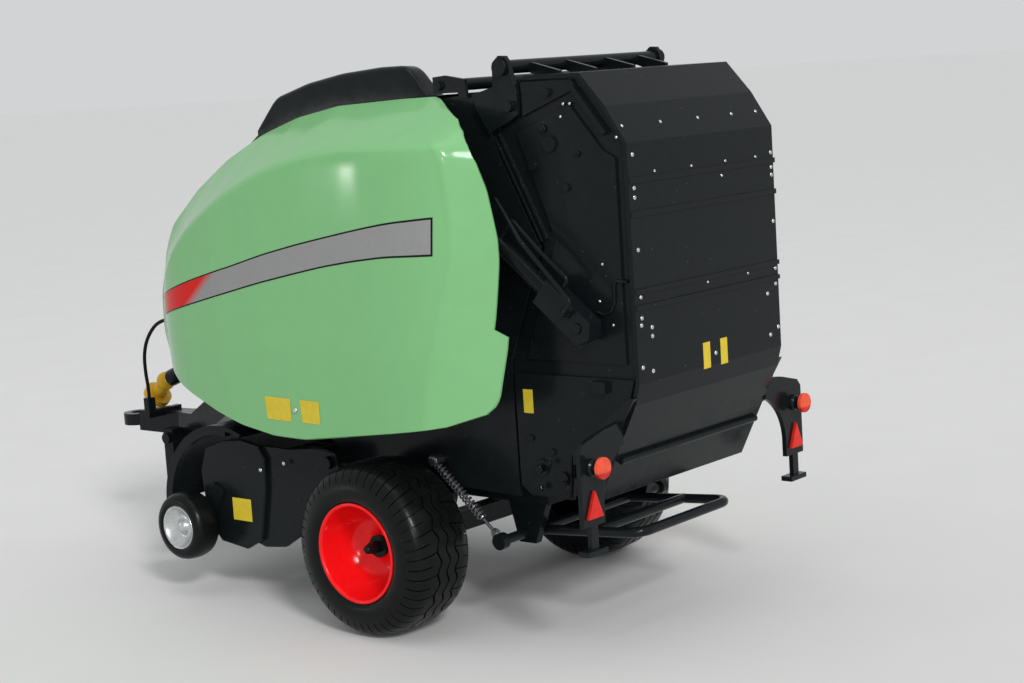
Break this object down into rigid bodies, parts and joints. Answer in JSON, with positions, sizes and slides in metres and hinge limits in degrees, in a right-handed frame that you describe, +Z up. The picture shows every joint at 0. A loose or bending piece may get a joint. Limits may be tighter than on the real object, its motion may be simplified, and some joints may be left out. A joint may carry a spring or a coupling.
{
  "type": "round baler scale model",
  "caption": "Scale model of a towed round baler with gull-wing side panels, lifting tailgate, pickup, ramp and jack.",
  "frame": {"origin": "floor level under the middle of the model, on its centre plane", "axes": "+Z up, +Y to the rear, -Y towards the drawbar, +X the left side of the machine"},
  "size_m": [0.078, 0.164, 0.1029],
  "materials": {
    "tyre_rubber": "satin",
    "red_rim": "gloss",
    "silver_hub": "satin",
    "green_paint": "gloss",
    "amber_lens": "gloss",
    "red_lens": "gloss",
    "yellow_plastic": "satin",
    "grey_steel": "satin",
    "black_metal": "gloss",
    "black_plastic": "gloss"
  },
  "bodies": {
    "chassis": {"axle": "black_metal", "chamber_rollers": "black_metal", "chassis_frame": "black_metal", "drawbar": "black_metal", "drive_shaft": "black_metal", "front_cross_tube": "black_plastic", "front_hose": "black_plastic", "gearbox": "black_metal", "net_box": "black_metal", "pickup_pivot_tube": "black_plastic", "ramp": "black_metal", "ramp_spring_left": "black_plastic", "ramp_spring_right": "black_plastic", "rod_boss_left": "black_plastic", "rod_boss_right": "black_plastic", "roof": "black_plastic", "shaft_cone": "yellow_plastic", "shaft_guard": "black_plastic", "side_plate_left": "black_metal", "side_plate_right": "black_metal", "top_fairing": "black_plastic", "towing_eye": "grey_steel"},
    "tailgate": {"barrel_pin_left": "black_plastic", "barrel_pin_right": "black_plastic", "lamp_left": "amber_lens", "lamp_right": "amber_lens", "light_bracket_left": "black_plastic", "light_bracket_right": "black_plastic", "reflector_left": "red_lens", "reflector_right": "red_lens", "tailgate_rollers": "black_plastic", "tailgate_side_left": "black_plastic", "tailgate_side_right": "black_plastic", "tailgate_skin": "black_plastic", "tailgate_tube": "black_plastic"},
    "cylinder_barrel_left": {"cylinder_barrel_left": "black_plastic", "hoses_left": "black_plastic"},
    "cylinder_barrel_right": {"cylinder_barrel_right": "black_plastic", "hoses_right": "black_plastic"},
    "cylinder_rod_left": {"cylinder_rod_left": "black_plastic"},
    "cylinder_rod_right": {"cylinder_rod_right": "black_plastic"},
    "pickup": {"gauge_arm_left": "black_plastic", "gauge_arm_right": "black_plastic", "pickup_frame": "black_plastic", "pickup_strippers": "black_plastic", "wind_guard": "black_plastic"},
    "gauge_wheel_left": {"gauge_rim_left": "silver_hub", "gauge_tyre_left": "tyre_rubber"},
    "gauge_wheel_right": {"gauge_rim_right": "silver_hub", "gauge_tyre_right": "tyre_rubber"},
    "jack": {"jack": "black_metal"},
    "side_panel_left": {"panel_left": "green_paint"},
    "side_panel_right": {"panel_right": "green_paint"},
    "pickup_reel": {"pickup_reel": "black_plastic"},
    "wheel_left": {"rim_left": "red_rim", "tyre_left": "tyre_rubber"},
    "wheel_right": {"rim_right": "red_rim", "tyre_right": "tyre_rubber"}
  },
  "joints": [
    {"name": "wheel_left_turn", "type": "hinge", "parent": "chassis", "child": "wheel_left", "pos_m": [0.031, 0.0282, 0.016], "axis": [1, 0, 0], "continuous": true},
    {"name": "wheel_right_turn", "type": "hinge", "parent": "chassis", "child": "wheel_right", "pos_m": [-0.031, 0.0282, 0.016], "axis": [1, 0, 0], "continuous": true},
    {"name": "jack_fold", "type": "hinge", "parent": "chassis", "child": "jack", "pos_m": [0.0058, -0.0598, 0.0246], "axis": [-1, 0, 0], "range_deg": [0, 88]},
    {"name": "tailgate_lift", "type": "hinge", "parent": "chassis", "child": "tailgate", "pos_m": [0, 0.05627, 0.1009], "axis": [1, 0, 0], "range_deg": [0, 60]},
    {"name": "pickup_lower", "type": "hinge", "parent": "chassis", "child": "pickup", "pos_m": [0, 0.0112, 0.029], "axis": [1, 0, 0], "range_deg": [0, 12]},
    {"name": "pickup_reel_turn", "type": "hinge", "parent": "pickup", "child": "pickup_reel", "pos_m": [0, -0.0148, 0.019], "axis": [1, 0, 0], "continuous": true},
    {"name": "side_panel_left_lift", "type": "hinge", "parent": "chassis", "child": "side_panel_left", "pos_m": [0.023, 0.0182, 0.0963], "axis": [0, -1, 0], "range_deg": [0, 70]},
    {"name": "cylinder_barrel_left_swing", "type": "hinge", "parent": "tailgate", "child": "cylinder_barrel_left", "pos_m": [0.0249, 0.0727, 0.057], "axis": [1, 0, 0], "range_deg": [-20, 1]},
    {"name": "cylinder_rod_left_slide", "type": "slide", "parent": "cylinder_barrel_left", "child": "cylinder_rod_left", "axis": [0, -0.7789, 0.6272], "range_m": [-0.0005, 0.0215]},
    {"name": "gauge_wheel_left_turn", "type": "hinge", "parent": "pickup", "child": "gauge_wheel_left", "pos_m": [0.032, -0.0254, 0.0142], "axis": [1, 0, 0], "continuous": true},
    {"name": "side_panel_right_lift", "type": "hinge", "parent": "chassis", "child": "side_panel_right", "pos_m": [-0.023, 0.0182, 0.0963], "axis": [0, 1, 0], "range_deg": [0, 70]},
    {"name": "cylinder_barrel_right_swing", "type": "hinge", "parent": "tailgate", "child": "cylinder_barrel_right", "pos_m": [-0.0249, 0.0727, 0.057], "axis": [1, 0, 0], "range_deg": [-20, 1]},
    {"name": "cylinder_rod_right_slide", "type": "slide", "parent": "cylinder_barrel_right", "child": "cylinder_rod_right", "axis": [0, -0.7789, 0.6272], "range_m": [-0.0005, 0.0215]},
    {"name": "gauge_wheel_right_turn", "type": "hinge", "parent": "pickup", "child": "gauge_wheel_right", "pos_m": [-0.032, -0.0254, 0.0142], "axis": [1, 0, 0], "continuous": true}
  ],
  "couplings": [
    {"joint": "cylinder_barrel_left_swing", "follows": "tailgate_lift", "ratio": -0.26376},
    {"joint": "cylinder_rod_left_slide", "follows": "tailgate_lift", "m_per_rad": 0.01981},
    {"joint": "cylinder_barrel_right_swing", "follows": "tailgate_lift", "ratio": -0.26376},
    {"joint": "cylinder_rod_right_slide", "follows": "tailgate_lift", "m_per_rad": 0.01981}
  ]
}
